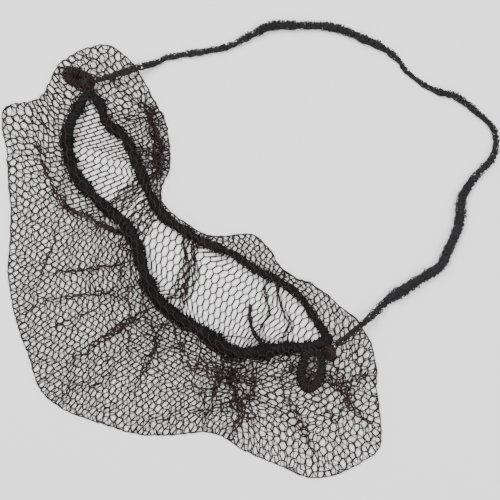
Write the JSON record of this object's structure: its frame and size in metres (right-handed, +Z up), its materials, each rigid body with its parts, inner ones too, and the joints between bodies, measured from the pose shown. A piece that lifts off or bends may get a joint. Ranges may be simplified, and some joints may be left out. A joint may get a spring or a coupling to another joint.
{
  "type": "beard net",
  "caption": "Disposable gathered net pouch with an elastic mouth band and an elastic head loop, lying flat, for covering a beard.",
  "frame": {"origin": "middle of the pouch's outline, on the surface that it lies on", "axes": "+Z up from the surface, +Y towards the end of the mouth where the head loop leaves to the right, +X towards the head loop"},
  "size_m": [0.2787, 0.258, 0.0103],
  "materials": {
    "nylon_net": "dark brown knitted nylon net, slight sheen",
    "elastic_cord": "charcoal knitted elastic, matte and fuzzy"
  },
  "bodies": {
    "root": {"net_pouch": "nylon_net", "rim_elastic": "elastic_cord", "head_loop": "elastic_cord", "knot_left": "elastic_cord", "knot_right": "elastic_cord", "tail_loop_left": "elastic_cord", "tail_loop_right": "elastic_cord"}
  },
  "joints": []
}
